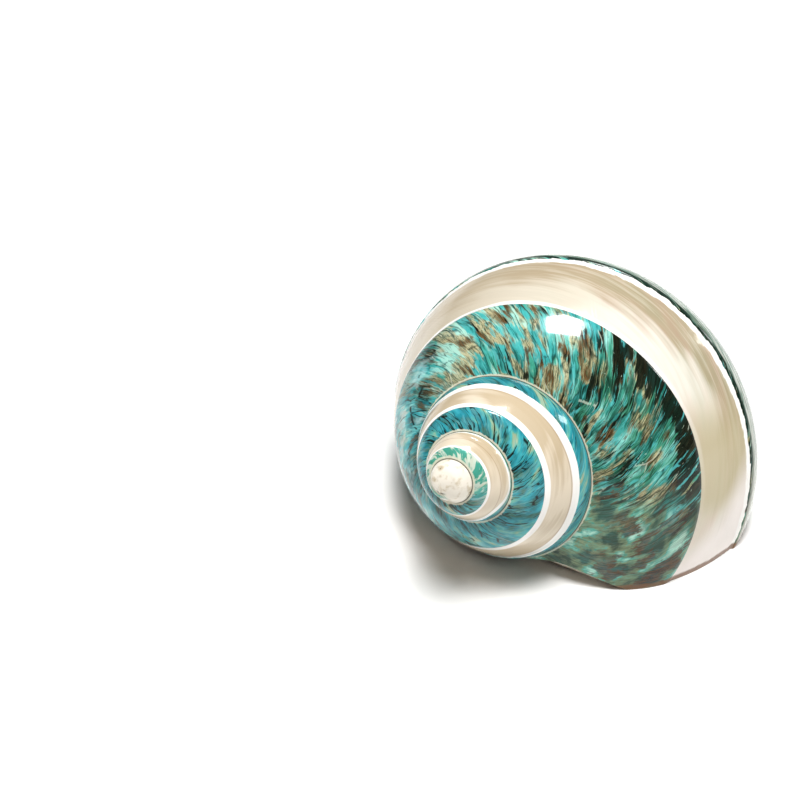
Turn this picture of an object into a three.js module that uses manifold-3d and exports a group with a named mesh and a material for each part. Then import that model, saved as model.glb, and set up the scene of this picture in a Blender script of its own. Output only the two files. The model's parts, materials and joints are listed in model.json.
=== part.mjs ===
// Polished turban shell: a coiled sea-snail shell, lying on its mouth with the spire to the front.
// Millimetres, +Z up, the floor at Z = 0, the apex of the spire towards -Y.
import * as THREE from 'three';
import { mergeVertices } from 'three/addons/utils/BufferGeometryUtils.js';
import Module from 'manifold-3d';

const TURN = 2 * Math.PI;

// Growth. The whole shell is one whorl section, turned about the coiling axis and enlarged as it goes.
const EXPANSION = 2.085;          // how many times larger the section is after one full turn
const LIP_ANGLE = 2.5;            // where sizes are taken: radians clockwise from the top, seen from the apex
const SUTURE_END = 2.85;          // growth went on to here along the suture
const WHORLS = 3.95;              // turns from the worn apex to there
const AXIS_TILT = THREE.MathUtils.degToRad(25.6);   // the coiling axis rises this much towards the apex
const APEX_HEIGHT = 27.3;         // height of the point where the spiral would vanish, over the floor

// Section of the whorl at the lip, as [distance from the axis, distance below the vanishing point].
const PERIPHERY = [35.6, 46.8];   // widest line of the whorl, where the next whorl is laid on
const SHOULDER = [[21.9, 24.3], [26.2, 27.6], [30.0, 32.7], [33.5, 39.2], [35.4, 44.5]];
const BASE = [[34.9, 49.8], [32.8, 53.8], [28.8, 58.0], [22.4, 61.2], [15.0, 62.0], [8.6, 60.7],
  [3.6, 57.0], [0, 51.0]];

// The back of the last whorl swells out from the coiling axis, most near the top, and again a little after it.
const COIL_WIDTH = 0.985;
const SWELL = 0.088;
const SWELL_ANGLE = -1.3;
const SWELL_BEFORE = 1.1;         // radians over which the swelling comes, and goes again
const SWELL_AFTER = 3.0;
const SECOND_SWELL = 0.014;
const SECOND_ANGLE = 0.75;
const SECOND_REACH = 0.7;

// Towards the lip the shoulder bulges. The lip itself hooks forward along the suture: away from it, growth
// stopped sooner. Places and widths along the section are in steps between its points.
const BULGE = 0.08;
const BULGE_REACH = 0.75;         // radians
const BULGE_CENTRE = 3.0;
const BULGE_WIDTH = 1.5;
const LIP_HOOK = 0.45;            // radians that the lip falls back beside the suture
const HOOK_WIDTH = 0.35;
const LIP_SLANT = 0.075;          // radians that it falls back in each further step
const SLANT_END = 2.5;
const LIP_REACH = 1.6;            // radians before the lip in which the growth lines turn into its shape

// Band round the shoulder where the coloured outer layer is ground off down to the pearl.
const BAND_DEPTH = 0.35;          // at the lip; less on the smaller whorls
const BAND_EARLY = [2.1, 4.2];    // inner and outer edge along the section, on the first whorls
const BAND_LATE = [2.93, 5.1];    // and on the last whorl, where the band lies further out
const BAND_SHIFT = [-8.7, -1.2];  // radians before the lip between which it moves out
const BAND_NARROWS = 0.34;        // on the side of the last whorl its inner edge lies this much further out
const NARROW_ANGLE = 1.45;
const NARROW_REACH = 0.75;
const BAND_BEVEL = 0.18;

// Living chamber: a round tube inside the last whorl, open at the lip.
const CHAMBER = [[18.6, 26.2], [24.6, 30.0], [28.2, 34.6], [31.5, 40.6], [33.2, 46.2], [31.6, 51.6],
  [27.4, 56.0], [21.4, 58.6], [14.6, 59.1], [7.6, 57.2], [3.6, 50.0], [3.7, 38.0], [7.6, 31.2], [13.0, 29.4]];
const CHAMBER_TURNS = 0.95;       // how far back from the lip the chamber is hollow
const CHAMBER_OVERRUN = 0.8;      // radians by which the cutting tube runs out past the lip
const CHAMBER_TIP = 4;            // stations over which the back end of the chamber rounds off

// Fineness of the facets.
const STEPS = 50;                 // stations in one turn
const SHOULDER_COLUMNS = 12;
const BASE_COLUMNS = 8;
const CHAMBER_SIDES = 26;
const FLOOR_BLOCK = 300;          // block that cuts the lip level with the floor

const toVectors = (points) => points.map(([radius, below]) => new THREE.Vector2(radius, below));
const suture = PERIPHERY.map((value) => value / EXPANSION);
const section = new THREE.SplineCurve(toVectors([suture, ...SHOULDER, PERIPHERY, ...BASE]));
const shoulderSpan = SHOULDER.length + 1;
const sectionSpan = shoulderSpan + BASE.length;
const chamberSection = new THREE.CatmullRomCurve3(
  CHAMBER.map(([radius, below]) => new THREE.Vector3(radius, below, 0)), true);

function hump(value, centre, width) {
  return Math.exp(-(((value - centre) / width) ** 2));
}

function size(angle) {
  return EXPANSION ** ((angle - LIP_ANGLE) / TURN);
}

function coilWidth(angle) {
  const spread = angle < SWELL_ANGLE ? SWELL_BEFORE : SWELL_AFTER;
  const second = SECOND_SWELL * hump(angle, SECOND_ANGLE, SECOND_REACH);
  return COIL_WIDTH + SWELL * hump(angle, SWELL_ANGLE, spread) + second;
}

// A point of the shell from its angle round the axis, radius and distance below the vanishing point.
function place(angle, radius, below) {
  const up = radius * Math.cos(angle);
  return new THREE.Vector3(
    radius * Math.sin(angle),
    up * Math.sin(AXIS_TILT) + below * Math.cos(AXIS_TILT),
    APEX_HEIGHT + up * Math.cos(AXIS_TILT) - below * Math.sin(AXIS_TILT));
}

// The same point back as [radius, distance below], for drawing in a plane through the axis.
function inAxisPlane(point) {
  const height = point.z - APEX_HEIGHT;
  const up = point.y * Math.sin(AXIS_TILT) + height * Math.cos(AXIS_TILT);
  const below = point.y * Math.cos(AXIS_TILT) - height * Math.sin(AXIS_TILT);
  return new THREE.Vector2(Math.hypot(point.x, up), below);
}

// How far the surface is ground down at a place along the section: full inside the band, none outside it.
function bandDepth(angle, along) {
  const moved = THREE.MathUtils.smoothstep(angle - LIP_ANGLE, ...BAND_SHIFT);
  const [start, end] = BAND_EARLY.map((early, edge) => THREE.MathUtils.lerp(early, BAND_LATE[edge], moved));
  const inner = start + BAND_NARROWS * hump(angle, NARROW_ANGLE, NARROW_REACH);
  const enter = THREE.MathUtils.smoothstep(along, inner - BAND_BEVEL, inner + BAND_BEVEL);
  const leave = THREE.MathUtils.smoothstep(along, end - BAND_BEVEL, end + BAND_BEVEL);
  return BAND_DEPTH * enter * (1 - leave);
}

// The angle at which growth has arrived, at a place along the section, when it is at "angle" on the suture.
function grownTo(angle, along) {
  const hook = LIP_HOOK * (1 - Math.exp(-along / HOOK_WIDTH));
  const slant = LIP_SLANT * Math.min(along, SLANT_END);
  return angle - (hook + slant) * THREE.MathUtils.smoothstep(angle, SUTURE_END - LIP_REACH, SUTURE_END);
}

// Outer surface. "along" counts the section's points from the suture to the axis.
function surface(angle, along) {
  const fraction = along / sectionSpan;
  const point = section.getPoint(fraction);
  const tangent = section.getTangent(fraction);
  const depth = bandDepth(angle, along);
  const scale = size(angle);
  const settle = THREE.MathUtils.smoothstep(along, 0, shoulderSpan);
  const width = THREE.MathUtils.lerp(coilWidth(angle - TURN), coilWidth(angle), settle);
  const bulge = 1 + BULGE * hump(angle, LIP_ANGLE, BULGE_REACH) * hump(along, BULGE_CENTRE, BULGE_WIDTH);
  const radius = (point.x - tangent.y * depth) * width * bulge;
  return place(angle, radius * scale, (point.y + tangent.x * depth) * scale);
}

// Mesh of the outer surface. Each whorl is joined to the one before along the suture, so the sheet of
// columns from suture to periphery closes on itself; the base of the last turn closes it below.
function coiledBody() {
  const stations = Math.round(WHORLS * STEPS);
  const baseStart = stations - STEPS;
  const firstAngle = SUTURE_END - WHORLS * TURN;
  const angleAt = (station) => firstAngle + (station / STEPS) * TURN;
  const positions = [];
  const triangles = [];
  const known = new Map();

  function vertex(station, column) {
    const onSuture = column === SHOULDER_COLUMNS && station + STEPS <= stations;
    const row = onSuture ? station + STEPS : station;
    const spot = onSuture ? 0 : column;
    const key = `${row}/${spot}`;
    if (!known.has(key)) {
      const pastPeriphery = Math.max(spot - SHOULDER_COLUMNS, 0);
      const onShoulder = (spot - pastPeriphery) / SHOULDER_COLUMNS;
      const along = onShoulder * shoulderSpan + (pastPeriphery / BASE_COLUMNS) * BASE.length;
      known.set(key, positions.length / 3);
      positions.push(...surface(grownTo(angleAt(row), along), along).toArray());
    }
    return known.get(key);
  }

  for (let station = 0; station < stations; station += 1) {
    const columns = station < baseStart ? SHOULDER_COLUMNS : SHOULDER_COLUMNS + BASE_COLUMNS;
    for (let column = 0; column < columns; column += 1) {
      const start = vertex(station, column);
      const far = vertex(station + 1, column + 1);
      triangles.push(start, vertex(station + 1, column), far);
      triangles.push(start, far, vertex(station, column + 1));
    }
  }

  // Worn apex: a low dome over the first turn.
  const rim = [];
  for (let station = 0; station <= STEPS; station += 1) rim.push(vertex(station, 0));
  for (let column = SHOULDER_COLUMNS - 1; column > 0; column -= 1) rim.push(vertex(0, column));
  const top = positions.length / 3;
  positions.push(...place(0, 0, suture[1] * size(firstAngle)).toArray());
  rim.forEach((current, index) => triangles.push(top, rim[(index + 1) % rim.length], current));

  // Face across the last whorl where growth stopped, drawn in the plane of the axis.
  const outline = [];
  const last = SHOULDER_COLUMNS + BASE_COLUMNS;
  for (let column = 0; column <= last; column += 1) outline.push(vertex(stations, column));
  for (let station = stations - 1; station >= baseStart; station -= 1) outline.push(vertex(station, last));
  for (let column = last - 1; column > SHOULDER_COLUMNS; column -= 1) outline.push(vertex(baseStart, column));
  const flat = outline.map((index) => inAxisPlane(new THREE.Vector3().fromArray(positions, index * 3)));
  THREE.ShapeUtils.triangulateShape(flat, []).forEach(([a, b, c]) => {
    triangles.push(outline[c], outline[b], outline[a]);
  });

  const geometry = new THREE.BufferGeometry();
  geometry.setAttribute('position', new THREE.Float32BufferAttribute(positions, 3));
  geometry.setIndex(triangles);
  return geometry;
}

// Closed tube in the shape of the chamber, from its rounded back end to past the lip.
function chamberTube() {
  const firstAngle = LIP_ANGLE - CHAMBER_TURNS * TURN;
  const stations = Math.round(((CHAMBER_TURNS * TURN + CHAMBER_OVERRUN) / TURN) * STEPS);
  const ring = chamberSection.getSpacedPoints(CHAMBER_SIDES).slice(0, CHAMBER_SIDES);
  const middle = new THREE.Vector3();
  ring.forEach((point) => middle.addScaledVector(point, 1 / CHAMBER_SIDES));
  const positions = [];
  const triangles = [];

  for (let station = 0; station <= stations; station += 1) {
    const angle = firstAngle + (station / STEPS) * TURN;
    const toTip = Math.max(1 - (station + 1) / (CHAMBER_TIP + 1), 0);
    const open = Math.sqrt(1 - toTip ** 2);
    const scale = size(angle);
    const width = coilWidth(angle) * scale;
    ring.forEach((point) => {
      const inset = middle.clone().lerp(point, open);
      positions.push(...place(angle, inset.x * width, inset.y * scale).toArray());
    });
  }
  for (let station = 0; station < stations; station += 1) {
    for (let side = 0; side < CHAMBER_SIDES; side += 1) {
      const next = (side + 1) % CHAMBER_SIDES;
      const row = station * CHAMBER_SIDES;
      const after = row + CHAMBER_SIDES;
      triangles.push(row + side, after + side, after + next, row + side, after + next, row + next);
    }
  }
  const front = stations * CHAMBER_SIDES;
  for (let side = 1; side < CHAMBER_SIDES - 1; side += 1) {
    triangles.push(0, side, side + 1);
    triangles.push(front, front + side + 1, front + side);
  }
  const geometry = new THREE.BufferGeometry();
  geometry.setAttribute('position', new THREE.Float32BufferAttribute(positions, 3));
  geometry.setIndex(triangles);
  return geometry;
}

const wasm = await Module();
wasm.setup();

function toSolid(geometry) {
  const bare = new THREE.BufferGeometry();
  bare.setAttribute('position', geometry.getAttribute('position'));
  bare.setIndex(geometry.getIndex());
  const welded = mergeVertices(bare);
  return new wasm.Manifold(new wasm.Mesh({
    numProp: 3,
    vertProperties: Float32Array.from(welded.getAttribute('position').array),
    triVerts: Uint32Array.from(welded.getIndex().array),
  }));
}

function toGeometry(solid) {
  const mesh = solid.getMesh();
  const geometry = new THREE.BufferGeometry();
  geometry.setAttribute('position', new THREE.BufferAttribute(Float32Array.from(mesh.vertProperties), 3));
  geometry.setIndex(new THREE.BufferAttribute(Uint32Array.from(mesh.triVerts), 1));
  geometry.computeVertexNormals();
  return geometry;
}

const floorBlock = new THREE.BoxGeometry(FLOOR_BLOCK, FLOOR_BLOCK, FLOOR_BLOCK);
floorBlock.translate(0, 0, -FLOOR_BLOCK / 2);

const shellSolid = toSolid(coiledBody())
  .subtract(toSolid(chamberTube()))
  .subtract(toSolid(floorBlock));

const shell = new THREE.Mesh(toGeometry(shellSolid), new THREE.MeshStandardMaterial({
  name: 'polished_shell',
  color: 0x4f9c9a,
  roughness: 0.2,
  metalness: 0,
}));
shell.name = 'shell';

// The part stands centred over the origin.
shell.geometry.computeBoundingBox();
const centre = shell.geometry.boundingBox.getCenter(new THREE.Vector3());
shell.geometry.translate(-centre.x, -centre.y, 0);

const group = new THREE.Group();
group.name = 'turban_shell';
group.add(shell);

export default group;
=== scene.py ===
# %% [markdown]
# A polished turban shell
#
# This lesson dresses one natural object: a turban snail's shell that was polished until its turquoise
# layer shone, with one band ground down to the pearl. The shape is a single coil, so a few numbers of
# growth give the whole mesh, and the same numbers tell the material where every streak runs.
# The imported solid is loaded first. It fixes the place and the size of everything that follows.

# %% Load the solid that the looks are built around
import json
import math

import bpy
import numpy as np
from mathutils import Matrix, Vector

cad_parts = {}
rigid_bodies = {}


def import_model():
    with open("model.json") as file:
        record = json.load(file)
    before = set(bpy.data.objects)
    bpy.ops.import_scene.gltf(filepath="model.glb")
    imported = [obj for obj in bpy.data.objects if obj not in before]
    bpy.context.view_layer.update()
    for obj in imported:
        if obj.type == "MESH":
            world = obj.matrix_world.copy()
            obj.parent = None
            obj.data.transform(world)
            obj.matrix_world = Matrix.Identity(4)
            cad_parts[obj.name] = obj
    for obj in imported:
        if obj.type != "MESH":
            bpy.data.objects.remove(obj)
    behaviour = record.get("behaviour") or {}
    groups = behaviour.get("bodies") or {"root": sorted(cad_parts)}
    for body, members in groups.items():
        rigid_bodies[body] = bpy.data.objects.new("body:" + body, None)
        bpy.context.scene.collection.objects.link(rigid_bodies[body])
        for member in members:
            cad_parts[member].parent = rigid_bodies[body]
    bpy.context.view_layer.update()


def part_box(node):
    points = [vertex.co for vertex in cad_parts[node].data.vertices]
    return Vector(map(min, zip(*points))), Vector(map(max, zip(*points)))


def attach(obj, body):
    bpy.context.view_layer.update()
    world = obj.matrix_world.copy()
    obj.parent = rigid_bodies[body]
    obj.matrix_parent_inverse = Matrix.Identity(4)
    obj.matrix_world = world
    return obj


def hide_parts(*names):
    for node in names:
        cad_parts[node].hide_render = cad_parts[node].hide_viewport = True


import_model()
shell_low, shell_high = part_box("shell")
print("solid, mm:", [round(1000 * (b - a), 1) for a, b in zip(shell_low, shell_high)])

# %% [markdown]
# The growth of the shell
#
# A snail adds to its shell only at the lip. The lip keeps its shape, grows by the same share in every
# turn, and slides along an axis, and that draws a spiral whose every whorl is a larger copy of the last.
# Lengths are millimetres until a mesh is made of them, and angles are radians clockwise from the top, as
# seen from the apex.

# %% Numbers of the growth
MM = 0.001
TURN = 2 * math.pi
EXPANSION = 2.085        # each turn is this many times larger than the one before
LIP_ANGLE = 2.5          # the lip, where the sizes are taken
SUTURE_END = 2.85        # growth went on to here along the suture
WHORLS = 3.95            # turns from the worn apex to there
GROWTH = math.log(EXPANSION) / TURN
AXIS_TILT = math.radians(25.6)
APEX_HEIGHT = 27.3       # mm over the floor, of the point where the spiral would vanish


def size(angle):
    """How large the whorl is at this angle, compared with the lip."""
    return EXPANSION ** ((angle - LIP_ANGLE) / TURN)


print("turns back from the lip and their sizes:", [round(size(LIP_ANGLE - n * TURN), 3) for n in range(4)])

# %% [markdown]
# The section of the whorl
#
# Cut along the axis, a whorl shows a rounded shoulder that starts at the suture (the seam with the whorl
# above), runs out to the periphery, and turns under to the base. It is drawn here as a handful of points
# at the lip, in millimetres: distance from the axis, and distance below the spiral's vanishing point.
# A smooth spline joins them, because a polygon would show as ridges that run all round the shell.

# %% Draw the section
PERIPHERY = (35.6, 46.8)
SHOULDER = [(21.9, 24.3), (26.2, 27.6), (30.0, 32.7), (33.5, 39.2), (35.4, 44.5)]
BASE = [
    (34.9, 49.8), (32.8, 53.8), (28.8, 58.0), (22.4, 61.2), (15.0, 62.0), (8.6, 60.7), (3.6, 57.0), (0, 51.0)]
SUTURE = (PERIPHERY[0] / EXPANSION, PERIPHERY[1] / EXPANSION)
SECTION = np.array([SUTURE, *SHOULDER, PERIPHERY, *BASE])
SHOULDER_SPAN = len(SHOULDER) + 1       # steps from the suture to the periphery
SECTION_SPAN = len(SECTION) - 1         # steps from the suture to the axis


def spline(points, along, closed=False):
    """Points on a smooth curve through points; along counts them from 0."""
    count = len(points)
    step = np.floor(along).astype(int)
    if not closed:
        step = np.clip(step, 0, count - 2)
    part = (along - step)[..., None]

    def point(offset):
        index = step + offset
        return points[index % count if closed else np.clip(index, 0, count - 1)]

    before, start, end, after = (point(offset) for offset in (-1, 0, 1, 2))
    leave, arrive = (end - before) / 2, (after - start) / 2
    cubic = 2 * start - 2 * end + leave + arrive
    square = -3 * start + 3 * end - 2 * leave - arrive
    return ((cubic * part + square) * part + leave) * part + start


middle_of_shoulder = spline(SECTION, np.array([SHOULDER_SPAN / 2]))[0]
print("middle of the shoulder at the lip, mm:", middle_of_shoulder.round(1))

# %% [markdown]
# What a living shell does besides the spiral
#
# A real whorl is no perfect copy: this one swells on its back and bulges before the lip, and each is a
# soft hump added to the spiral. The lip hooks forward along the suture, so away from it growth stopped
# sooner. The pearl band is a shallow groove, because the coloured layer was ground away there; on the
# last whorl it lies further out.

# %% Swelling, lip and ground band
# Swells and bulges are shares of the radius. Angles are radians, and the rest are steps along the section.
COIL_WIDTH, SWELL, SWELL_ANGLE, SWELL_BEFORE, SWELL_AFTER = 0.985, 0.088, -1.3, 1.1, 3.0
SECOND_SWELL, SECOND_ANGLE, SECOND_REACH = 0.014, 0.75, 0.7
BULGE, BULGE_REACH, BULGE_CENTRE, BULGE_WIDTH = 0.08, 0.75, 3.0, 1.5
LIP_HOOK, HOOK_WIDTH, LIP_SLANT, SLANT_END, LIP_REACH = 0.45, 0.35, 0.075, 2.5, 1.6
BAND_DEPTH, BAND_BEVEL = 0.35, 0.1           # the depth in mm at the lip
BAND_EARLY, BAND_LATE, BAND_SHIFT = (2.1, 4.2), (2.93, 5.1), (-8.7, -1.2)
BAND_NARROWS, NARROW_ANGLE, NARROW_REACH = 0.34, 1.45, 0.75


def hump(value, centre, width):
    """1 at the centre, and nearly 0 from two widths away."""
    return np.exp(-(((value - centre) / width) ** 2))


def smoothstep(value, low, high):
    """0 below low, 1 above high, soft between."""
    part = np.clip((value - low) / (high - low), 0, 1)
    return part * part * (3 - 2 * part)


def coil_width(angle):
    """How wide the coil is at this angle, compared with the plain spiral."""
    spread = np.where(angle < SWELL_ANGLE, SWELL_BEFORE, SWELL_AFTER)
    second = SECOND_SWELL * hump(angle, SECOND_ANGLE, SECOND_REACH)
    return COIL_WIDTH + SWELL * hump(angle, SWELL_ANGLE, spread) + second


def grown_to(angle, along):
    """The angle at which growth has arrived along the section, when it is at angle on the suture."""
    fall = LIP_HOOK * (1 - np.exp(-along / HOOK_WIDTH)) + LIP_SLANT * np.minimum(along, SLANT_END)
    return angle - fall * smoothstep(angle, SUTURE_END - LIP_REACH, SUTURE_END)


def band_edges(angle):
    """Inner and outer edge of the pearl band, as places along the section."""
    moved = smoothstep(angle - LIP_ANGLE, *BAND_SHIFT)
    inner, outer = (early + (late - early) * moved for early, late in zip(BAND_EARLY, BAND_LATE))
    return inner + BAND_NARROWS * hump(angle, NARROW_ANGLE, NARROW_REACH), outer


def band_depth(angle, along):
    """How deep the band is ground here, in mm at the lip's size."""
    start, end = band_edges(angle)
    inside = smoothstep(along, start - BAND_BEVEL, start + BAND_BEVEL)
    return BAND_DEPTH * inside * (1 - smoothstep(along, end - BAND_BEVEL, end + BAND_BEVEL))


for turns_back in (0, 1):
    edges = band_edges(LIP_ANGLE - turns_back * TURN)
    print("band edges", turns_back, "turns back:", [round(float(edge), 2) for edge in edges])

# %% [markdown]
# From growth to space
#
# The coil stands in its own frame, with the axis as its pole. Tipping that frame lays the shell on its
# mouth, with the apex forward. The solid sits centred over the origin, so the same shift is found by
# comparing boxes later, and nothing is moved by eye.

# %% Place points of the coil
NEARBY = 0.01            # how far along the section its direction is taken


def place(angle, radius, below):
    """World points, in mm, from angle round the axis, radius and distance below the vanishing point."""
    up = radius * np.cos(angle)
    lean, rise = math.sin(AXIS_TILT), math.cos(AXIS_TILT)
    return np.stack([
        radius * np.sin(angle),
        up * lean + below * rise,
        APEX_HEIGHT + up * rise - below * lean,
    ], -1)


def outer_surface(angle, along):
    """Points of the outside at these angles and places along the section."""
    point = spline(SECTION, along)
    ahead = spline(SECTION, np.minimum(along + NEARBY, SECTION_SPAN))
    chord = ahead - spline(SECTION, np.maximum(along - NEARBY, 0))
    tangent = chord / np.linalg.norm(chord, axis=-1, keepdims=True)
    settle = smoothstep(along, 0, SHOULDER_SPAN)
    width = coil_width(angle - TURN) * (1 - settle) + coil_width(angle) * settle
    bulge = 1 + BULGE * hump(angle, LIP_ANGLE, BULGE_REACH) * hump(along, BULGE_CENTRE, BULGE_WIDTH)
    depth = band_depth(angle, along)
    radius = (point[..., 0] - tangent[..., 1] * depth) * width * bulge
    below = point[..., 1] + tangent[..., 0] * depth
    return place(angle, radius * size(angle), below * size(angle))


print("a point on the lip, mm:", outer_surface(np.array(LIP_ANGLE), np.array(3.0)).round(1))

# %% [markdown]
# The outside as one sheet
#
# The sheet's rows follow growth. Its columns run from the suture to the periphery, and on the last turn on
# to the axis. Where a whorl ends at the periphery, the next whorl begins, so both share their vertices
# there and the seam can't open. Columns gather at the suture and at the band's edges, where the surface
# turns within a fraction of a millimetre. The growth is noted for each face corner rather than for each
# vertex: at the seam one vertex belongs to two whorls, and only corners can hold both values.

# %% Build the coiled body
STEPS = 240                                  # rows in one turn
ROWS = round(WHORLS * STEPS)
BASE_FROM = ROWS - STEPS                     # the base shows on the last turn only
FIRST_ANGLE = SUTURE_END - WHORLS * TURN
ZONES = (24, 22, 14)                         # columns on the shoulder, in the band, and outside it
BASE_COLUMNS = 26
GATHER = 0.8                                 # 0 spaces columns evenly, 1 squeezes the end ones together


def gathered(count):
    """Fractions from 0 to 1, closer together at both ends."""
    even = np.linspace(0, 1, count + 1)
    return even - GATHER * np.sin(TURN * even) / TURN


def columns_at(angle):
    """Places of one row's columns along the section."""
    start, end = band_edges(angle)
    stops = [0, start, end, SHOULDER_SPAN]
    places = [low + (high - low) * gathered(count)[:-1] for low, high, count in zip(stops, stops[1:], ZONES)]
    base = np.linspace(SHOULDER_SPAN, SECTION_SPAN, BASE_COLUMNS + 1)
    return np.concatenate([*places, base])


row_angles = FIRST_ANGLE + np.arange(ROWS + 1) / STEPS * TURN
growth_along = np.array([columns_at(angle) for angle in row_angles])
growth_angle = grown_to(row_angles[:, None], growth_along)
sheet = outer_surface(growth_angle, growth_along)
SEAM = sum(ZONES)                            # the column on the periphery
LAST = SEAM + BASE_COLUMNS                   # the column on the axis

sheet_points, number_of = [], {}


def vertex(row, column):
    """Number of the vertex at this row and column; the seam's vertices are the next whorl's first column."""
    if column == SEAM and row + STEPS <= ROWS:
        row, column = row + STEPS, 0
    if (row, column) not in number_of:
        number_of[row, column] = len(sheet_points)
        sheet_points.append(sheet[row, column])
    return number_of[row, column]


faces, spots = [], []
for row in range(ROWS):
    for column in range(SEAM if row < BASE_FROM else LAST):
        corners = [(row, column), (row + 1, column), (row + 1, column + 1), (row, column + 1)]
        faces.append([vertex(*corner) for corner in corners])
        spots += [(growth_angle[corner], growth_along[corner]) for corner in corners]
print("coiled sheet:", len(sheet_points), "vertices,", len(faces), "faces")

# %% [markdown]
# Closing the sheet
#
# Two holes are left: the first turn's rim at the apex, and the section where growth stopped. The apex gets
# a low worn dome, drawn as a fan. The last section gets one many-sided face, and cutting the chamber out
# will take most of it away again. The body has to be closed all the same, because a cut needs to know its
# inside from its outside.

# %% Close the apex and the lip
CAP_ALONG = 1.0                              # the whole dome is mapped to this one place of the section

rim = [(row, 0) for row in range(STEPS + 1)] + [(0, column) for column in range(SEAM - 1, 0, -1)]
apex = len(sheet_points)
sheet_points.append(place(np.array(0.0), np.array(0.0), np.array(SUTURE[1] * size(FIRST_ANGLE))))
for here, after in zip(rim, rim[1:] + rim[:1]):
    faces.append([apex, vertex(*after), vertex(*here)])
    spots += [(FIRST_ANGLE, CAP_ALONG)] * 3

outline = [(ROWS, column) for column in range(LAST + 1)]
outline += [(row, LAST) for row in range(ROWS - 1, BASE_FROM - 1, -1)]
outline += [(BASE_FROM, column) for column in range(LAST - 1, SEAM, -1)]
faces.append([vertex(*spot) for spot in reversed(outline)])
spots += [(LIP_ANGLE, SECTION_SPAN)] * len(outline)
print("closing faces:", len(rim), "at the apex, 1 at the lip")


def make_object(name, points, polygons):
    """A mesh object from points in mm."""
    mesh = bpy.data.meshes.new(name)
    mesh.from_pydata((np.array(points) * MM).tolist(), [], polygons)
    made = bpy.data.objects.new(name, mesh)
    bpy.context.scene.collection.objects.link(made)
    return made


shell = make_object("turban_shell", sheet_points, faces)
print("closed body:", len(shell.data.polygons), "polygons")

# %% [markdown]
# Maps for the markings
#
# The markings of a shell are laid down at the lip while it grows, so they follow the growth lines and not
# the coil's outline. Three maps on the mesh carry that to the finishes. "growth" holds the turns counted
# back from the lip and the place along the section. "pattern" holds millimetres along the coil, counted
# from one growth line to the next, and millimetres away from the suture. "band" holds the millimetres from
# the inner and from the outer edge of the pearl band.

# %% Lay the maps on the mesh
LEAN, CURVE, LEAN_END = 0.17, 0.008, 7.0     # how growth lines lean back, going out from the suture
PATTERN_RADIUS = 27.0                        # the coil is measured along this radius, at the lip
STEP_MM = 5.5                                # mean distance between two points of the section

spots = np.array(spots)
spot_angle, spot_along = spots.T
leaning = np.minimum(spot_along, LEAN_END)
growth_line = spot_angle + LEAN * leaning + CURVE * leaning**2
coil_mm = PATTERN_RADIUS * size(growth_line) / GROWTH
band_start, band_end = band_edges(spot_angle)
step_mm = STEP_MM * size(spot_angle)


def lay_map(name, across, out):
    """A map with a pair of values for every face corner."""
    layer = shell.data.uv_layers.new(name=name)
    layer.uv.foreach_set("vector", np.stack([across, out], 1).astype(np.float32).ravel())


lay_map("growth", (LIP_ANGLE - spot_angle) / TURN, spot_along)
lay_map("pattern", coil_mm, spot_along * step_mm)
lay_map("band", (spot_along - band_start) * step_mm, (band_end - spot_along) * step_mm)
shell.data.validate()
print("maps:", [layer.name for layer in shell.data.uv_layers], "on", len(spots), "corners")

# %% [markdown]
# The living chamber and the floor
#
# The snail lived in the last whorl, so that whorl is hollow and its mouth is open. A tube that winds with
# the same growth is cut out of the body, and a block cuts the lip level with the floor it lies on.
# Boolean modifiers keep the three maps, and hand each cut face the material of the tool that cut it:
# pearl inside the chamber, raw shell on the edge of the lip.

# %% Cut the chamber and level the lip
CHAMBER = np.array([
    (18.6, 26.2), (24.6, 30.0), (28.2, 34.6), (31.5, 40.6), (33.2, 46.2), (31.6, 51.6), (27.4, 56.0),
    (21.4, 58.6), (14.6, 59.1), (7.6, 57.2), (3.6, 50.0), (3.7, 38.0), (7.6, 31.2), (13.0, 29.4)])
CHAMBER_TURNS, CHAMBER_OVERRUN, CHAMBER_SIDES, CHAMBER_TIP = 0.95, 0.8, 56, 18


def chamber_tube():
    """The hollow of the living chamber, with a rounded tip at its deep end."""
    rows = round((CHAMBER_TURNS * TURN + CHAMBER_OVERRUN) / TURN * STEPS)
    ring = spline(CHAMBER, np.linspace(0, len(CHAMBER), CHAMBER_SIDES, endpoint=False), closed=True)
    angle = LIP_ANGLE - CHAMBER_TURNS * TURN + np.arange(rows + 1) / STEPS * TURN
    to_tip = np.clip(1 - (np.arange(rows + 1) + 1) / (CHAMBER_TIP + 1), 0, 1)
    opened = np.sqrt(1 - to_tip**2)[:, None, None]
    inset = ring.mean(0) + (ring - ring.mean(0)) * opened
    angles = np.repeat(angle[:, None], CHAMBER_SIDES, 1)
    points = place(angles, inset[..., 0] * coil_width(angles) * size(angles), inset[..., 1] * size(angles))
    number = np.arange((rows + 1) * CHAMBER_SIDES).reshape(rows + 1, CHAMBER_SIDES)
    turned = np.roll(number, -1, 1)
    polygons = np.stack([number[:-1], number[1:], turned[1:], turned[:-1]], -1).reshape(-1, 4).tolist()
    polygons += [number[0].tolist(), number[-1, ::-1].tolist()]
    return make_object("chamber", points.reshape(-1, 3), polygons)


def floor_block():
    """All that would lie below the floor."""
    reach, depth = 200, 100
    corners = [(x, y, z) for z in (-depth, 0) for y in (-reach, reach) for x in (-reach, reach)]
    sides = [(0, 2, 3, 1), (4, 5, 7, 6), (0, 1, 5, 4), (2, 6, 7, 3), (0, 4, 6, 2), (1, 3, 7, 5)]
    return make_object("floor_block", corners, sides)


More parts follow.
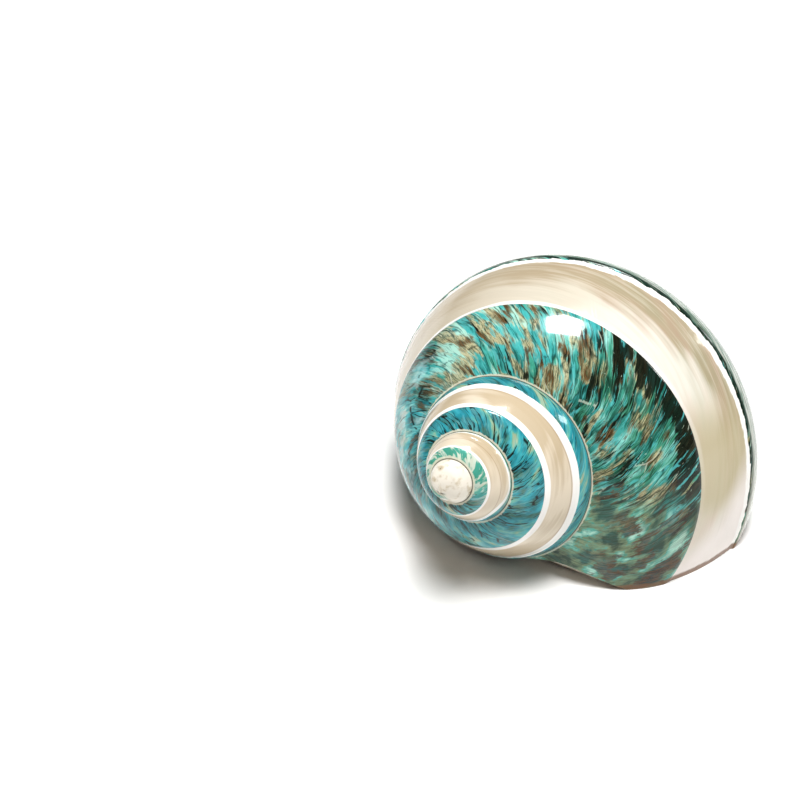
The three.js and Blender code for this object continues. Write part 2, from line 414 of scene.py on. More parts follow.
outside_finish = bpy.data.materials.new("polished_turquoise_layer")
pearl_finish = bpy.data.materials.new("pearl_lining")
edge_finish = bpy.data.materials.new("raw_lip_edge")
shell.data.materials.append(outside_finish)
tools = [chamber_tube(), floor_block()]
for tool, finish in zip(tools, (pearl_finish, edge_finish)):
    tool.data.materials.append(finish)
    cut = shell.modifiers.new(tool.name, "BOOLEAN")
    cut.operation = "DIFFERENCE"
    cut.solver = "MANIFOLD"
    cut.object = tool
    cut.material_mode = "TRANSFER"

evaluated = shell.evaluated_get(bpy.context.evaluated_depsgraph_get())
carved = bpy.data.meshes.new_from_object(evaluated)
shell.modifiers.clear()
shell.data = carved
for tool in tools:
    bpy.data.objects.remove(tool)
print("carved shell:", len(carved.vertices), "vertices; finishes", [m.name for m in carved.materials])

# %% [markdown]
# Setting the shell in its place
#
# The solid is centred over the origin, and the finer shell has the same outline, so moving the middle of
# its box over the middle of the solid's box puts every point where the solid has it.

# %% Centre, shade and hand over the shell
SHARP_EDGE = math.radians(40)

carved_points = np.empty(len(carved.vertices) * 3, np.float32)
carved.vertices.foreach_get("co", carved_points)
carved_points = carved_points.reshape(-1, 3)
carved_middle = (carved_points.min(0) + carved_points.max(0)) / 2
solid_middle = (np.array(shell_low) + np.array(shell_high)) / 2
shift = Vector((solid_middle[0] - carved_middle[0], solid_middle[1] - carved_middle[1], 0))
carved.transform(Matrix.Translation(shift))
carved.shade_smooth()
carved.set_sharp_from_angle(angle=SHARP_EDGE)

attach(shell, "root")
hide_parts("shell")
print("shift, mm:", [round(1000 * value, 2) for value in shift])

# %% [markdown]
# A small kit for finishes
#
# A finish is a chain of small sums. Each helper adds a node or a few, and takes a number or another node's
# output for each of its inputs, so that a finish reads like a recipe. Nodes joined by hand would give the
# same picture, but there are hundreds of them. Rises and windows say where a colour goes, and each coat of
# paint covers part of what lies below it.

# %% Helpers for sums and coats
MIX_BELOW, MIX_ABOVE, MIX_RESULT = 6, 7, 2   # the colour sockets of a mix node


def tint(red, green, blue):
    """A colour from 0 to 255 per channel, as seen on a screen, in linear light."""
    shares = [channel / 255 for channel in (red, green, blue)]
    linear = [share / 12.92 if share <= 0.04045 else ((share + 0.055) / 1.055) ** 2.4 for share in shares]
    return (*linear, 1.0)


class Finish:
    """One material, built a node at a time."""

    def __init__(self, material):
        material.use_nodes = True
        self.nodes, self.links = material.node_tree.nodes, material.node_tree.links
        self.skin = self.nodes["Principled BSDF"]
        self.colour = None

    def join(self, socket, value):
        """Feed a socket from another node, or set its own value."""
        if isinstance(value, bpy.types.NodeSocket):
            self.links.new(value, socket)
        else:
            socket.default_value = value

    def add(self, kind, values, **settings):
        """A node of this kind, with its settings made and its inputs joined."""
        node = self.nodes.new(kind)
        for name, setting in settings.items():
            setattr(node, name, setting)
        for socket, value in values.items():
            self.join(node.inputs[socket], value)
        return node

    def dress(self, values):
        """Join the inputs of the surface itself."""
        for socket, value in values.items():
            self.join(self.skin.inputs[socket], value)

    def work_out(self, operation, *values):
        """One sum on numbers and on other nodes."""
        return self.add("ShaderNodeMath", dict(enumerate(values)), operation=operation).outputs[0]

    def times(self, first, *others):
        for other in others:
            first = self.work_out("MULTIPLY", first, other)
        return first

    def plus(self, first, *others):
        for other in others:
            first = self.work_out("ADD", first, other)
        return first

    def minus(self, first, second):
        return self.work_out("SUBTRACT", first, second)

    def rise(self, value, low, high):
        """0 below low, 1 above high, soft between; with low above high it falls."""
        values = {"Value": value, "From Min": low, "From Max": high}
        return self.add("ShaderNodeMapRange", values, interpolation_type="SMOOTHSTEP").outputs[0]

    def window(self, value, start, full, fading, end):
        """0 outside start and end, 1 from full to fading."""
        return self.times(self.rise(value, start, full), self.rise(value, end, fading))

    def grain(self, scale, detail):
        """Where each point lies on the object, and noise that does not follow the growth there."""
        spot = self.add("ShaderNodeTexCoord", {}).outputs["Object"]
        values = {"Vector": spot, "Scale": scale, "Detail": detail}
        return spot, self.add("ShaderNodeTexNoise", values).outputs["Fac"]

    def blend(self, amount, below, above):
        """The colour below at 0, the colour above at 1."""
        node = self.add("ShaderNodeMix", {"Factor": amount}, data_type="RGBA")
        self.join(node.inputs[MIX_BELOW], below)
        self.join(node.inputs[MIX_ABOVE], above)
        return node.outputs[MIX_RESULT]

    def coat(self, below, where, colour, strength=1.0):
        """A colour laid over the colour below."""
        return self.blend(self.times(where, strength), below, colour)

    def paint(self, where, colour, strength=1.0):
        """Lay a colour over all that has been painted so far."""
        self.colour = self.coat(self.colour, where, colour, strength)


TURQUOISE = tint(66, 186, 196)
print("turquoise in linear light:", [round(channel, 3) for channel in TURQUOISE[:3]])

# %% [markdown]
# Helpers for grown markings
#
# What grew with the shell is drawn on its maps. Clouds of noise give streaks and patches. They are made
# longer along the growth lines than across them by dividing each map by its own length first. Long cells
# give scales with crisp outlines, which noise alone can't.

# %% Helpers for clouds and scales
SEED_STEPS = (7.3, 3.1, 1.7)                 # how far apart two clouds are taken from the same noise


class GrownFinish(Finish):
    """A finish whose marks follow the maps of growth."""

    def read(self, name):
        """The two values of a map."""
        place_on_map = self.add("ShaderNodeUVMap", {}, uv_map=name).outputs[0]
        parts = self.add("ShaderNodeSeparateXYZ", {"Vector": place_on_map}).outputs
        return parts[0], parts[1]

    def cloud(self, across, out, width, length, seed, detail=2.0, rough=0.55):
        """Noise around 0.5 in spots of this width and length."""
        across_step, out_step, depth_step = (step * seed for step in SEED_STEPS)
        moved = self.work_out("MULTIPLY_ADD", across, 1 / width, across_step)
        drawn = self.work_out("MULTIPLY_ADD", out, 1 / length, out_step)
        spot = self.add("ShaderNodeCombineXYZ", {"X": moved, "Y": drawn, "Z": depth_step}).outputs[0]
        values = {"Vector": spot, "Scale": 1.0, "Detail": detail, "Roughness": rough}
        return self.add("ShaderNodeTexNoise", values).outputs["Fac"]

    def around(self, noise, strength):
        """Noise moved to lie around 0, times a strength."""
        return self.work_out("MULTIPLY_ADD", noise, strength, -0.5 * strength)

    def scales(self, across, out, width, length):
        """Long scales along the growth lines: a random value for each, and the distance to its edge."""
        place_on_scale = {"X": self.times(across, 1 / width), "Y": self.times(out, 1 / length)}
        spot = self.add("ShaderNodeCombineXYZ", place_on_scale).outputs[0]
        values = {"Vector": spot, "Scale": 1.0}
        pick = self.add("ShaderNodeTexVoronoi", values, voronoi_dimensions="2D").outputs["Color"]
        edge = self.add("ShaderNodeTexVoronoi", values, voronoi_dimensions="2D", feature="DISTANCE_TO_EDGE")
        return self.add("ShaderNodeSeparateColor", {"Color": pick}).outputs[0], edge.outputs["Distance"]

    def shades(self, value, stops):
        """A soft row of colours, each at its own value."""
        node = self.add("ShaderNodeValToRGB", {"Fac": value})
        row = node.color_ramp.elements
        while len(row) < len(stops):
            row.new(0.5)
        for element, (position, colour) in zip(row, stops):
            element.position, element.color = position, colour
        return node.outputs[0]


print("steps between the seeds of two clouds:", SEED_STEPS)

# %% [markdown]
# The growth lines
#
# Under its rough crust this shell is green, turquoise and brown, and polishing lays that bare. The colours
# came out of the lip in bursts, so nearly every mark is a streak along a growth line. All of them are drawn
# from a few clouds of noise, stretched along those lines. The lines themselves waver, and every streak
# wavers with them.

# %% Read the maps and draw the clouds
outside = GrownFinish(outside_finish)
turns, along = outside.read("growth")
straight_coil, out = outside.read("pattern")
from_inner, from_outer = outside.read("band")
band_mm = outside.plus(from_inner, from_outer)
across = outside.work_out("DIVIDE", from_inner, band_mm)

WAVER_MM, JITTER_MM = 2.6, 0.9               # how far the growth lines stray
waver = outside.cloud(straight_coil, out, 6, 7, 1)
jitter = outside.cloud(straight_coil, out, 1.1, 2.2, 2)
coil = outside.plus(straight_coil, outside.around(waver, WAVER_MM), outside.around(jitter, JITTER_MM))


def streaks(width, length, seed, **grain):
    """A cloud on the growth lines, in spots of this many mm along the coil and along the lines."""
    return outside.cloud(coil, out, width, length, seed, **grain)


fine = streaks(0.30, 4.5, 3)
dashes = streaks(1.0, 3.2, 4)
broad = streaks(10, 12, 5)
flames = streaks(2.6, 6, 6)
patches = streaks(3.2, 4.2, 7)
flecks = streaks(0.8, 1.6, 8)
grit = streaks(0.22, 1.1, 14, detail=4.0, rough=0.7)
scale_pick, scale_edge = outside.scales(coil, out, 1.6, 4.8)
print("clouds drawn with", len(outside.nodes), "nodes")

# %% [markdown]
# Zones of colour
#
# The pattern changes as the snail ages: the small whorls of the spire are bluer, the flank of the last
# whorl is dark and olive, and the part made last, at the lip, is blotched grey-green. The far side and the
# crown of the last whorl are painted the brightest, partly as painted light: the crown where the top light
# falls, and the far side in place of a fill lamp. Soft windows on the growth map mark those zones. They are
# counted in turns back from the lip, so they follow the coil wherever it goes.

# %% Mark the zones
spire = outside.rise(turns, 0.66, 1.0)
far_side = outside.window(turns, 0.46, 0.62, 0.95, 1.0)
crown = outside.window(turns, 0.28, 0.40, 0.58, 0.70)
flank = outside.window(turns, 0.09, 0.16, 0.27, 0.38)
last_whorl = outside.rise(turns, 1.0, 0.92)
near_suture = outside.rise(out, 8.0, 1.0)
near_band = outside.times(outside.rise(from_inner, -7.0, -0.3), outside.rise(from_outer, -0.5, 0.0))
faint_on_spire = outside.minus(1.0, outside.times(spire, 0.5))

# Painted light and shade: the crown is made lighter, where the top light falls, and the flank and the spire a
# little darker. The cloud of tone added to it is random.
painted_light_lift = outside.minus(outside.times(crown, 0.13), outside.times(spire, 0.05))
painted_light_lift = outside.minus(painted_light_lift, outside.times(flank, 0.05))
tone_and_painted_light = outside.plus(outside.around(streaks(7, 8, 13), 0.9), painted_light_lift)
print("zones marked with", len(outside.nodes), "nodes")

# %% [markdown]
# The turquoise ground
#
# The ground is turquoise and sea green in broad clouds, and each zone is tinted its own way; the far
# side's brighter cyan is painted light, in place of a fill lamp. Pale and deep dashes then come from one
# cloud: its high end is painted pale, and its low end deep. The tone is added to that cloud, so whole areas
# turn lighter or darker without losing their dashes. Besides random areas, the tone holds painted light: the
# crown is lighter, where the top light falls, and the flank and the spire are a little darker.

# %% Lay the turquoise
SEA_GREEN = tint(64, 164, 144)
SPIRE_BLUE, FAR_CYAN_PAINTED_LIGHT = tint(58, 158, 190), tint(70, 200, 216)
CROWN_GREEN, FLANK_OLIVE = tint(104, 176, 146), tint(84, 134, 96)
PALE_DASH, DEEP_DASH, CROWN_DASH_PAINTED_LIGHT = tint(152, 222, 214), tint(20, 88, 76), tint(200, 236, 216)

hue = outside.plus(broad, outside.around(scale_pick, 0.5))
outside.colour = outside.blend(outside.rise(hue, 0.32, 0.66), TURQUOISE, SEA_GREEN)
outside.paint(spire, SPIRE_BLUE, 0.5)
# The far side's brighter cyan is painted light, in place of a fill lamp.
outside.paint(far_side, FAR_CYAN_PAINTED_LIGHT, 0.5)
outside.paint(crown, CROWN_GREEN, 0.35)
outside.paint(flank, FLANK_OLIVE, 0.5)

mottle = outside.plus(dashes, outside.around(scale_pick, 0.3), tone_and_painted_light, outside.around(grit, 0.5))
outside.paint(outside.times(outside.rise(mottle, 0.46, 0.76), faint_on_spire), PALE_DASH, 0.9)
outside.paint(outside.times(outside.rise(mottle, 0.44, 0.22), faint_on_spire), DEEP_DASH, 0.65)
# Pale dashes on the crown: partly real pale dashes, partly painted light where the top light falls.
outside.paint(outside.times(outside.rise(mottle, 0.53, 0.72), crown), CROWN_DASH_PAINTED_LIGHT, 0.6)
print("with the turquoise:", len(outside.nodes), "nodes")

# %% [markdown]
# Olive patches and dark lines
#
# Over the turquoise lie olive and tan patches, most of them near the suture, then fine combed lines, the
# outlines of the scales, and brown patches. A cloud alone would give a patch a soft round edge, so each
# takes a little of the finer clouds too, and that frays it into strokes.

# %% Lay the patches and the combed lines
OLIVE, TAN = tint(98, 88, 50), tint(206, 190, 146)
COMBED_GREEN, OUTLINE_GREEN = tint(22, 66, 52), tint(22, 36, 26)
DARK_BROWN, WARM_BROWN = tint(42, 30, 18), tint(112, 82, 48)
THINNEST_LINE = 0.004

olive_zones = outside.times(outside.plus(near_suture, crown, flank), 0.035)
olive = outside.plus(streaks(3.0, 3.6, 22, detail=3.0), outside.around(dashes, 0.5), olive_zones)
olive_colour = outside.blend(outside.rise(grit, 0.36, 0.58), OLIVE, TAN)
outside.paint(outside.times(outside.rise(olive, 0.52, 0.65), faint_on_spire), olive_colour, 0.85)

calm = outside.times(outside.plus(crown, spire), 0.04)
combed = outside.minus(fine, outside.plus(outside.times(tone_and_painted_light, 0.25), calm))
combed = outside.rise(combed, 0.47, 0.60)
outside.paint(outside.times(combed, faint_on_spire), COMBED_GREEN, 0.6)
line_width = outside.minus(outside.times(flecks, 0.6), outside.plus(outside.times(tone_and_painted_light, 0.3), 0.2))
line_width = outside.work_out("MAXIMUM", line_width, THINNEST_LINE)
outside.paint(outside.rise(scale_edge, line_width, 0.0), OUTLINE_GREEN, 0.65)

patches = outside.plus(patches, outside.times(near_suture, 0.035))
brown = outside.plus(patches, outside.around(dashes, 0.6), outside.around(grit, 0.5))
brown_colour = outside.blend(outside.rise(grit, 0.4, 0.58), DARK_BROWN, WARM_BROWN)
outside.paint(outside.times(outside.rise(brown, 0.575, 0.68), faint_on_spire), brown_colour, 0.92)
print("with patches and lines:", len(outside.nodes), "nodes")

# %% [markdown]
# Burnt flames and glints
#
# The darkest marks are burnt flames. They gather where the flank meets the band, so closeness to the band
# is added to their cloud there. Dark specks and bright glints break up what is still plain.

# %% Burn the flames
BURNT, SPECK = tint(18, 25, 16), tint(24, 44, 32)
GLINT, SPIRE_GLINT = tint(96, 192, 192), tint(92, 182, 210)

ragged = outside.plus(flames, outside.around(fine, 0.4), outside.around(dashes, 0.45))
gathered_flames = outside.times(near_band, near_band, flank, 0.28)
ragged = outside.minus(outside.plus(ragged, gathered_flames), outside.times(tone_and_painted_light, 0.35))
flames_on_spire = outside.work_out("POWER", faint_on_spire, 0.5)
outside.paint(outside.times(outside.rise(ragged, 0.59, 0.67), flames_on_spire), BURNT, 0.93)
specks = outside.minus(outside.plus(grit, outside.around(fine, 0.4)), outside.times(tone_and_painted_light, 0.3))
outside.paint(outside.times(outside.rise(specks, 0.54, 0.66), faint_on_spire), SPECK, 0.7)

glints = outside.plus(streaks(0.9, 3.0, 15), outside.around(grit, 0.5))
glint_colour = outside.blend(spire, GLINT, SPIRE_GLINT)
outside.paint(outside.times(outside.rise(glints, 0.60, 0.68), faint_on_spire), glint_colour, 0.7)
print("with flames and glints:", len(outside.nodes), "nodes")

# %% [markdown]
# The far side and the spire
#
# On the far side the streaks flow together into larger pools, deep teal to milky white, with brown between
# them. The spire is smoother still, and dark roots run out over it from the suture. Both get a wash that
# half covers the streaks. The cracks come last, because they cut across everything.

# %% Wash the far side and the spire
FAR_POOLS = ((0.40, tint(18, 58, 56)), (0.48, tint(44, 126, 130)), (0.55, tint(66, 176, 188)),
             (0.62, tint(116, 206, 206)), (0.68, tint(222, 242, 236)))
SPIRE_POOLS = ((0.36, tint(56, 104, 84)), (0.45, tint(46, 140, 152)), (0.53, tint(74, 176, 186)),
               (0.60, tint(116, 192, 172)), (0.66, tint(192, 196, 152)))
MILK, PALE_CRACK, ROOT = tint(206, 238, 238), tint(214, 222, 204), tint(26, 34, 28)
DARK_CRACK, HIGHLIGHT_SPECK = tint(24, 22, 16), tint(196, 216, 194)

outside.paint(far_side, outside.shades(streaks(4.5, 4.5, 25, detail=3.0), FAR_POOLS), 0.6)
far_brown = outside.rise(streaks(3.0, 4.0, 26, detail=3.0), 0.55, 0.62)
outside.paint(outside.times(far_brown, far_side), brown_colour, 0.75)
milky = outside.rise(streaks(4.2, 3.6, 19, detail=3.0), 0.52, 0.66)
outside.paint(outside.times(milky, far_side), MILK, 0.6)
crack_edge = outside.scales(coil, out, 4.5, 11)[1]
cracked = outside.rise(outside.plus(flecks, outside.around(broad, 1.2)), 0.56, 0.64)
outside.paint(outside.times(outside.rise(crack_edge, 0.022, 0.006), cracked), PALE_CRACK, 0.5)

outside.paint(spire, outside.shades(streaks(2.6, 3.4, 23, detail=3.0), SPIRE_POOLS), 0.62)
roots = outside.plus(streaks(0.6, 4.0, 24, detail=3.0), outside.times(outside.rise(out, 6.0, 0.5), 0.14))
outside.paint(outside.times(outside.rise(roots, 0.69, 0.74), spire), ROOT, 0.9)
split_pick = outside.rise(outside.plus(patches, outside.around(flecks, 0.6)), 0.48, 0.56)
for where, width, length in ((spire, 0.9, 4.0), (far_side, 2.6, 4.4)):
    split = outside.rise(outside.scales(coil, out, width, length)[1], 0.07, 0.015)
    outside.paint(outside.times(split, split_pick, where), DARK_CRACK, 0.9)
# Small pale specks on the flank are painted highlights on the finest relief.
highlight_specks = outside.rise(streaks(0.45, 0.6, 20), 0.68, 0.74)
outside.paint(outside.times(highlight_specks, flank), HIGHLIGHT_SPECK, 0.6)
print("with washes and cracks:", len(outside.nodes), "nodes")

# %% [markdown]
# The last growth
#
# A snail that has stopped growing lays shell unevenly. Next to the lip the streaks give way to soft
# blotches of grey-green, turquoise and brown, a few millimetres across. Their cloud is stretched to more
# than its own range first, so that a row of five colours is used from end to end.

# %% Blotch the last growth
LIP_BLOTCHES = ((0.30, tint(46, 76, 62)), (0.45, tint(112, 134, 104)), (0.53, tint(130, 150, 116)),
                (0.62, tint(88, 168, 150)), (0.80, tint(190, 230, 212)))
LIP_COMBED, DARK_STAIN, LIGHT_STAIN = tint(44, 66, 48), tint(36, 24, 14), tint(104, 68, 42)
BLOTCH_STRETCH, MIDDLE = 2.2, 0.5

blotch = outside.plus(outside.around(streaks(4.2, 3.6, 16, detail=4.0), BLOTCH_STRETCH), MIDDLE)
stain = outside.plus(outside.around(streaks(4.4, 3.6, 17, detail=4.0), BLOTCH_STRETCH), MIDDLE)
lip_colour = outside.coat(outside.shades(blotch, LIP_BLOTCHES), combed, LIP_COMBED, 0.32)
stained = outside.rise(outside.plus(stain, outside.around(grit, 0.6)), 0.55, 0.66)
stained = outside.times(stained, outside.rise(out, 2.0, 8.0))
stain_colour = outside.blend(outside.rise(grit, 0.4, 0.6), DARK_STAIN, LIGHT_STAIN)
lip_colour = outside.coat(lip_colour, stained, stain_colour, 0.92)
lip_zone = outside.rise(outside.plus(turns, outside.around(patches, 0.08)), 0.16, 0.11)
outside.paint(lip_zone, lip_colour, 0.85)
print("with the last growth:", len(outside.nodes), "nodes")

# %% [markdown]
# The edge of the ground band
#
# Below the band, the last whorl was sanded to a dull grey strip, nearly white on the far side. The coloured
# layer breaks off there in a dark fringe with small chips. It is strongest over the top of the whorl, and
# nearly gone at both ends. The chips come from a cloud that moves the band's edge in and out.

# %% Wear the strip below the band
WORN_GREEN, WORN_GREY = tint(112, 134, 122), tint(204, 208, 200)
LIP_GREY, FAR_WHITE, FRINGE_GREEN = tint(190, 186, 172), tint(226, 230, 226), tint(16, 44, 34)

chips = streaks(2.0, 1.6, 10, detail=3.0)
worn = outside.blend(outside.rise(chips, 0.42, 0.6), WORN_GREEN, WORN_GREY)
below_band = outside.times(outside.rise(from_outer, -0.2, -0.5), outside.rise(along, 7.4, 6.3))
outside.paint(outside.times(below_band, last_whorl), worn, 0.85)
outside.paint(outside.times(below_band, outside.rise(turns, 0.20, 0.12)), LIP_GREY, 0.7)
far_strip = outside.window(turns, 0.40, 0.52, 0.66, 0.74)
outside.paint(outside.times(below_band, far_strip), FAR_WHITE, 0.85)

first_whorls = outside.times(outside.rise(turns, 2.03, 2.15), 1.2)
chip_size = outside.plus(outside.times(last_whorl, 0.85), 0.15)
chipped = outside.times(outside.around(chips, 1.0), chip_size)
outer_edge = outside.plus(from_outer, first_whorls, chipped)
broken = outside.rise(outside.plus(chips, outside.around(flecks, 0.6)), 0.36, 0.48)
fringe = outside.times(outside.window(outer_edge, -1.6, -1.0, 0.1, 0.3), broken)
outside.paint(outside.times(fringe, outside.window(turns, 0.10, 0.19, 0.42, 0.56)), FRINGE_GREEN, 0.95)
print("with the worn strip:", len(outside.nodes), "nodes")

# %% [markdown]
# The pearl band
#
# Grinding deeper through the colour leaves a band of pearl. Pearl is laid in thin sheets, and a grinding
# wheel cuts through one after another, so the band shows long silky zones: white towards its inner edge,
# tan towards its outer one, and rosy white at the lip. The clouds for them are drawn out along the coil.
# Where the flank meets the crown, the inner half is painted whiter still, as a painted highlight.

# %% Mix the pearl of the last whorl
INNER_PEARL, PEARL_HIGHLIGHT = tint(210, 202, 186), tint(234, 229, 220)
FAR_TAN, NEAR_TAN, SILK = tint(176, 160, 134), tint(160, 143, 114), tint(220, 211, 195)
SHEEN = ((0.38, tint(200, 204, 182)), (0.5, tint(222, 212, 194)), (0.62, tint(226, 202, 190)))
FAR_PEARL, FLANK_PEARL, ROSY_PEARL = tint(206, 194, 172), tint(190, 179, 146), tint(244, 237, 233)

silk = streaks(16, 0.8, 11)
mist = streaks(9, 6, 12, detail=1.0)
zone = outside.plus(across, outside.around(silk, 0.35), outside.around(mist, 0.6))
# Between the flank and the crown the inner pearl turns whiter: a painted highlight.
inner_pearl_and_highlight = outside.blend(outside.window(turns, 0.20, 0.25, 0.32, 0.38), INNER_PEARL, PEARL_HIGHLIGHT)
outer_pearl = outside.blend(outside.rise(turns, 0.40, 0.32), FAR_TAN, NEAR_TAN)
pearl = outside.blend(outside.rise(zone, 0.27, 0.50), inner_pearl_and_highlight, outer_pearl)
pearl = outside.coat(pearl, outside.rise(streaks(7, 0.35, 18, detail=3.0), 0.42, 0.66), SILK, 0.4)
sheen_colour = outside.shades(streaks(6, 2.6, 21), SHEEN)
pearl = outside.coat(pearl, outside.rise(turns, 0.45, 0.3), sheen_colour, 0.25)
pearl = outside.coat(pearl, outside.rise(turns, 0.40, 0.52), FAR_PEARL, 0.6)
pearl = outside.coat(pearl, outside.window(turns, 0.12, 0.15, 0.19, 0.25), FLANK_PEARL, 0.75)
rosy = outside.minus(outside.plus(turns, outside.around(mist, 0.04)), outside.times(across, 0.085))
pearl = outside.coat(pearl, outside.rise(rosy, 0.12, 0.07), ROSY_PEARL, 0.9)
print("with the pearl of the last whorl:", len(outside.nodes), "nodes")

# %% [markdown]
# The pearl of the spire and the margins
#
# Further up the band is narrow, and plain cream and tan with one brown hairline. Both margins are white all
# the way, because the wheel only just broke through the colour there. Their width is a share of the band's
# own width, so it shrinks with the whorls.

# %% Lay the pearl in the band
SPIRE_TAN, SPIRE_CREAM = tint(200, 182, 154), tint(230, 217, 197)
MARGIN_WHITE, HAIRLINE_BROWN = tint(248, 246, 242), tint(168, 140, 112)
HAIRLINE_PLACE = 0.76

creamy = outside.rise(outside.plus(mist, outside.around(silk, 0.5)), 0.44, 0.64)
pearl = outside.coat(pearl, spire, outside.blend(creamy, SPIRE_TAN, SPIRE_CREAM), 0.8)
margin = outside.plus(outside.times(spire, 0.12), 0.05)
inside_edge = outside.work_out("DIVIDE", outside.plus(from_inner, outside.around(mist, 0.5)), band_mm)
inner_margin = outside.rise(inside_edge, outside.plus(margin, 0.03), margin)
inner_margin = outside.times(inner_margin, outside.rise(turns, 0.10, 0.42))
outside_edge = outside.work_out("DIVIDE", outside.plus(outer_edge, outside.around(mist, 0.3)), band_mm)
outer_margin = outside.rise(outside_edge, outside.plus(margin, 0.08), outside.plus(margin, 0.05))
pearl = outside.coat(pearl, outside.work_out("MAXIMUM", inner_margin, outer_margin), MARGIN_WHITE)
from_hairline = outside.work_out("ABSOLUTE", outside.minus(across, HAIRLINE_PLACE))
hairline = outside.times(outside.rise(from_hairline, 0.03, 0.012), spire)
pearl = outside.coat(pearl, hairline, HAIRLINE_BROWN, 0.5)
in_band = outside.times(outside.rise(from_inner, -0.04, 0.04), outside.rise(outer_edge, -0.04, 0.04))
outside.paint(in_band, pearl)
print("with the pearl:", len(outside.nodes), "nodes")

# %% [markdown]
# Apex, suture and broken lip
#
# The first whorls are the oldest, so they are worn to mottled green and cream, and the very tip to bare
# cream with some dirt in its pits. Along the suture runs a thin cream cord with a dark line beside it. At
# the lip the shell broke off, and a brown line is painted where it meets the table: partly its raw edge,
# partly painted contact shadow.

# %% Finish the apex, the suture and the lip line
MOTTLED_GREEN, MOTTLED_CREAM = tint(84, 164, 142), tint(216, 222, 204)
APEX_CREAM, APEX_TAN, APEX_DIRT = tint(240, 233, 220), tint(204, 190, 164), tint(92, 80, 58)
CORD_CREAM, SEAM_BROWN = tint(226, 219, 198), tint(48, 44, 34)
AXIS_CREAM, LIP_EDGE_AND_SHADOW_BROWN = tint(236, 226, 208), tint(122, 84, 50)

mottled = outside.blend(outside.rise(flecks, 0.46, 0.58), MOTTLED_GREEN, MOTTLED_CREAM)
beside_band = outside.rise(in_band, 0.6, 0.4)
outside.paint(outside.times(outside.rise(turns, 2.0, 2.2), beside_band), mottled, 0.85)
spot, grime = outside.grain(700.0, 4.0)
worn_tip = outside.blend(outside.rise(grime, 0.5, 0.7), APEX_CREAM, APEX_TAN)
worn_tip = outside.coat(worn_tip, outside.rise(grime, 0.68, 0.72), APEX_DIRT, 0.7)
outside.paint(outside.rise(turns, 2.9, 2.98), worn_tip)

uncapped = outside.rise(turns, 2.96, 2.9)
cord = outside.rise(outside.plus(out, outside.around(flecks, 0.6)), 0.62, 0.46)
outside.paint(outside.times(cord, uncapped), CORD_CREAM, 0.8)
covered = outside.rise(turns, 0.95, 1.0)
seam_mm = outside.plus(outside.times(outside.rise(turns, 1.9, 2.0), 0.14), 0.2)
seam_below = outside.times(outside.rise(along, 5.94, 5.97), covered)
seam = outside.work_out("MAXIMUM", outside.rise(out, seam_mm, 0.1), seam_below)
outside.paint(outside.times(seam, uncapped, outside.rise(along, 6.2, 6.1)), SEAM_BROWN, 0.9)
outside.paint(outside.rise(along, 11.5, 13.0), AXIS_CREAM)

height = outside.add("ShaderNodeSeparateXYZ", {"Vector": spot}).outputs[2]
# A brown line just above the table: partly the raw edge of the lip, partly painted contact shadow.
lip_edge_and_contact_shadow = outside.rise(outside.plus(height, outside.around(flecks, 0.8 * MM)), 1.3 * MM, 0.8 * MM)
outside.paint(lip_edge_and_contact_shadow, LIP_EDGE_AND_SHADOW_BROWN, 0.85)
print("painted outside:", len(outside.nodes), "nodes")

# %% [markdown]
# The polish
#
# Polished shell shines twice: softly from the layers below, and sharply from the skin that was polished.
# The coat of the surface shader stands for that skin. A trace of bump along the finest lines breaks up the
# soft shine.

# %% Polish the outside
relief = outside.add("ShaderNodeBump", {"Strength": 0.1, "Distance": 0.2 * MM, "Height": fine})
outside.dress({"Base Color": outside.colour, "Normal": relief.outputs[0], "Roughness": 0.16,
               "Specular IOR Level": 0.25, "Coat Weight": 0.45, "Coat Roughness": 0.03})
print("outside finish:", len(outside.nodes), "nodes")

# %% [markdown]
# Inside and edge
#
# The chamber is lined with the same pearl as the band, and the edge of the lip is left raw and brown. Both
# were cut after the coil was mapped, so their clouds follow the place on the object instead of the growth.

# %% Finish the chamber and the lip
def two_tone(material, scale, first, second, roughness):
    """A finish that wavers between two colours."""
    finish = Finish(material)
    noise = finish.grain(scale, 3.0)[1]
    colour = finish.blend(finish.rise(noise, 0.35, 0.65), first, second)
    finish.dress({"Base Color": colour, "Roughness": roughness})
    return len(finish.nodes)


lining_nodes = two_tone(pearl_finish, 160.0, tint(240, 233, 222), tint(214, 200, 176), 0.22)
raw_nodes = two_tone(edge_finish, 900.0, tint(120, 84, 52), tint(190, 160, 122), 0.5)
print("lining and edge:", lining_nodes, "and", raw_nodes, "nodes")

# %% [markdown]
# Camera
#
# The photo was taken from the side of the spire and well above it. Its view follows from the fit of the coil:
# the spiral's vanishing point is seen at one known pixel, and the camera is turned a little on its axis.

# %% Set up the camera
CAMERA_AZIMUTH, CAMERA_ELEVATION, CAMERA_ROLL = (math.radians(turn) for turn in (35.3, 42.43, -4.16))
CAMERA_DISTANCE = 0.252                      # metres, from the plane of the vanishing point
PHOTO_SIDE, LENS_PIXELS, SENSOR = 800, 1800, 36
NEAR_CLIP = 0.01
VANISHING_PIXEL = (435.1, 485.1)

toward = Vector((math.sin(CAMERA_AZIMUTH) * math.cos(CAMERA_ELEVATION),
                 -math.cos(CAMERA_AZIMUTH) * math.cos(CAMERA_ELEVATION), math.sin(CAMERA_ELEVATION)))
level = Vector((math.cos(CAMERA_AZIMUTH), math.sin(CAMERA_AZIMUTH), 0))
upright = toward.cross(level)
right = level * math.cos(CAMERA_ROLL) + upright * math.sin(CAMERA_ROLL)
up = toward.cross(right)
vanishing = Vector((shift.x, shift.y, APEX_HEIGHT * MM))
pixel = CAMERA_DISTANCE / LENS_PIXELS
aside = right * (VANISHING_PIXEL[0] - PHOTO_SIDE / 2) + up * (PHOTO_SIDE / 2 - VANISHING_PIXEL[1])

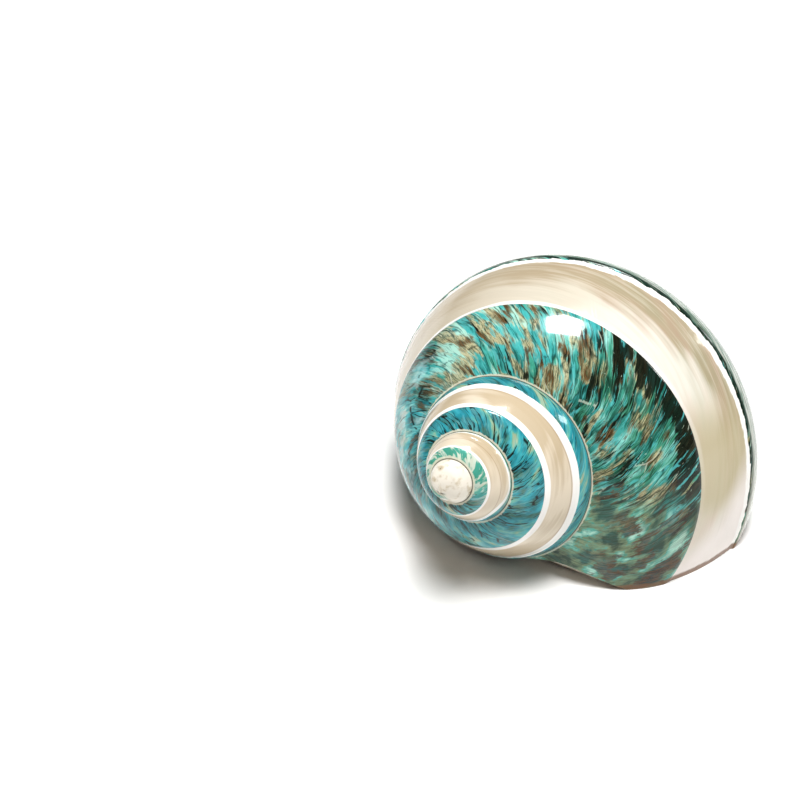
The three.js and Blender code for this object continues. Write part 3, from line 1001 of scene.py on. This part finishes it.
camera_data = bpy.data.cameras.new("camera")
camera_data.sensor_width = SENSOR
camera_data.lens = SENSOR * LENS_PIXELS / PHOTO_SIDE
camera_data.clip_start = NEAR_CLIP
camera = bpy.data.objects.new("camera", camera_data)
camera.matrix_world = Matrix((right, up, toward)).transposed().to_4x4()
camera.location = vanishing + toward * CAMERA_DISTANCE - aside * pixel
bpy.context.scene.collection.objects.link(camera)
bpy.context.scene.camera = camera
print("camera, mm:", [round(1000 * value, 1) for value in camera.location])

# %% [markdown]
# The table
#
# The shell lies on a plain white table. One large plane is enough, since only its nearest part is seen.

# %% Lay the table
TABLE_SIDE = 6                               # metres
TABLE_WHITE = (0.96, 0.955, 0.945, 1)

bpy.ops.mesh.primitive_plane_add(size=TABLE_SIDE)
floor = bpy.context.object
floor.name = "table"
table_material = bpy.data.materials.new("white_table")
floor.data.materials.append(table_material)
Finish(table_material).dress({"Base Color": TABLE_WHITE, "Roughness": 0.6})
print("table:", [round(side, 1) for side in floor.dimensions[:2]], "m")

# %% [markdown]
# Light
#
# A soft box hangs almost straight above the shell, and gives the light and the shadow. A polished surface
# also mirrors whatever is bright around it. One lamp can't give both the soft shadow and the small sharp
# patches on the polish, so the soft box is kept out of reflections, and two windows that show in
# reflections only make the patches. White walls all round fill the shadows.

# %% Hang the lights
LIGHTS = {                                   # side in metres, watts, and place
    "soft_box": (0.3, 7.2, (0.10, -0.04, 0.8)),
    "roof_window": (0.24, 6.5, (-0.09, 0.155, 0.8)),
    "side_window": (0.14, 0.8, (0.56, 0.68, 0.45)),
}
WALL_COLOUR, WALL_STRENGTH = (1.0, 0.975, 0.92, 1), 0.14


def hang_light(name, side, watts, location):
    """A square light, turned to the shell."""
    data = bpy.data.lights.new(name, "AREA")
    data.size, data.energy = side, watts
    lamp = bpy.data.objects.new(name, data)
    lamp.location = location
    lamp.rotation_euler = (vanishing - lamp.location).to_track_quat("-Z", "Y").to_euler()
    bpy.context.scene.collection.objects.link(lamp)
    return lamp


for name, light in LIGHTS.items():
    lamp = hang_light(name, *light)
    lamp.visible_glossy = name.endswith("window")
    lamp.visible_diffuse = not lamp.visible_glossy

walls = bpy.data.worlds.new("white_walls")
walls.use_nodes = True
wall_light = walls.node_tree.nodes["Background"].inputs
wall_light["Color"].default_value = WALL_COLOUR
wall_light["Strength"].default_value = WALL_STRENGTH
bpy.context.scene.world = walls
bpy.context.scene.view_settings.view_transform = "Standard"
bpy.context.scene.view_settings.look = "Medium High Contrast"
print("lights:", list(LIGHTS), "and walls at", WALL_STRENGTH)
